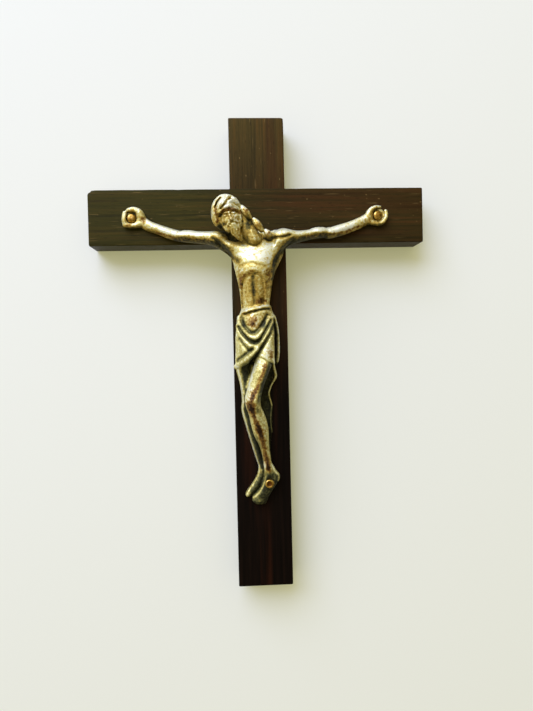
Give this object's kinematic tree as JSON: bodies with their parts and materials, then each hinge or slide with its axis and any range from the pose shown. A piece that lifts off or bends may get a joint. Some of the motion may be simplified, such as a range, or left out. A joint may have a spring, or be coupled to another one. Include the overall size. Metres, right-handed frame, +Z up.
{
  "type": "crucifix",
  "caption": "Small wall crucifix: half-lapped dark wooden cross with a cast metal corpus fixed by round-headed pins, hung from a blind hole in its back.",
  "frame": {"origin": "middle of the crossing on the flat back face", "axes": "+Z up along the upright, +Y out of the back towards the wall, +X to the right seen from the front"},
  "size_m": [0.0856, 0.0178, 0.12],
  "materials": {
    "dark_wood": "oiled satin",
    "antique_metal": "cast, silvered, worn and patinated",
    "pin_brass": "polished, darkened"
  },
  "bodies": {
    "root": {"upright": "dark_wood", "crossbar": "dark_wood", "corpus": "antique_metal", "left_hand_nail": "pin_brass", "right_hand_nail": "pin_brass", "feet_nail": "pin_brass"}
  },
  "joints": []
}
